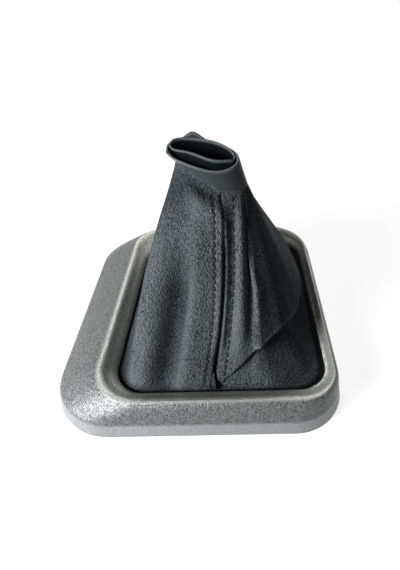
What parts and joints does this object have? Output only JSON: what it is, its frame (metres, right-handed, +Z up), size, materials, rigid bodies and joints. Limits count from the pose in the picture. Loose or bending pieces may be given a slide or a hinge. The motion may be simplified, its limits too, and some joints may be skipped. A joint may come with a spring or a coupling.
{
  "type": "gear lever gaiter",
  "caption": "Tapering stitched leatherette gaiter with an open oval neck, clamped in a silver moulded surround with a wide left flank, that covers the foot of a gear lever.",
  "frame": {"origin": "plan centre of the surround's lower rim, on the surface it rests on", "axes": "+X to the right with the wide flank on the left, +Y from the stitched front to the back, +Z up through the neck"},
  "size_m": [0.1569, 0.161, 0.1211],
  "materials": {
    "surround_paint": "silver metallic paint with a fine sparkle over a moulded texture",
    "leatherette": "pebble-grained, semi-matt",
    "collar_skin": "smooth, semi-matt",
    "sleeve_lining": "plain, dull",
    "black_plastic": "plain moulded",
    "screw_steel": "zinc plated"
  },
  "bodies": {
    "root": {"surround": "surround_paint", "retaining_ring": "black_plastic", "left_panel": "leatherette", "right_panel": "leatherette", "neck_collar": "collar_skin", "neck_sleeve": "sleeve_lining", "screw_1": "screw_steel", "screw_2": "screw_steel", "screw_3": "screw_steel", "screw_4": "screw_steel", "screw_5": "screw_steel", "screw_6": "screw_steel", "screw_7": "screw_steel"}
  },
  "joints": []
}
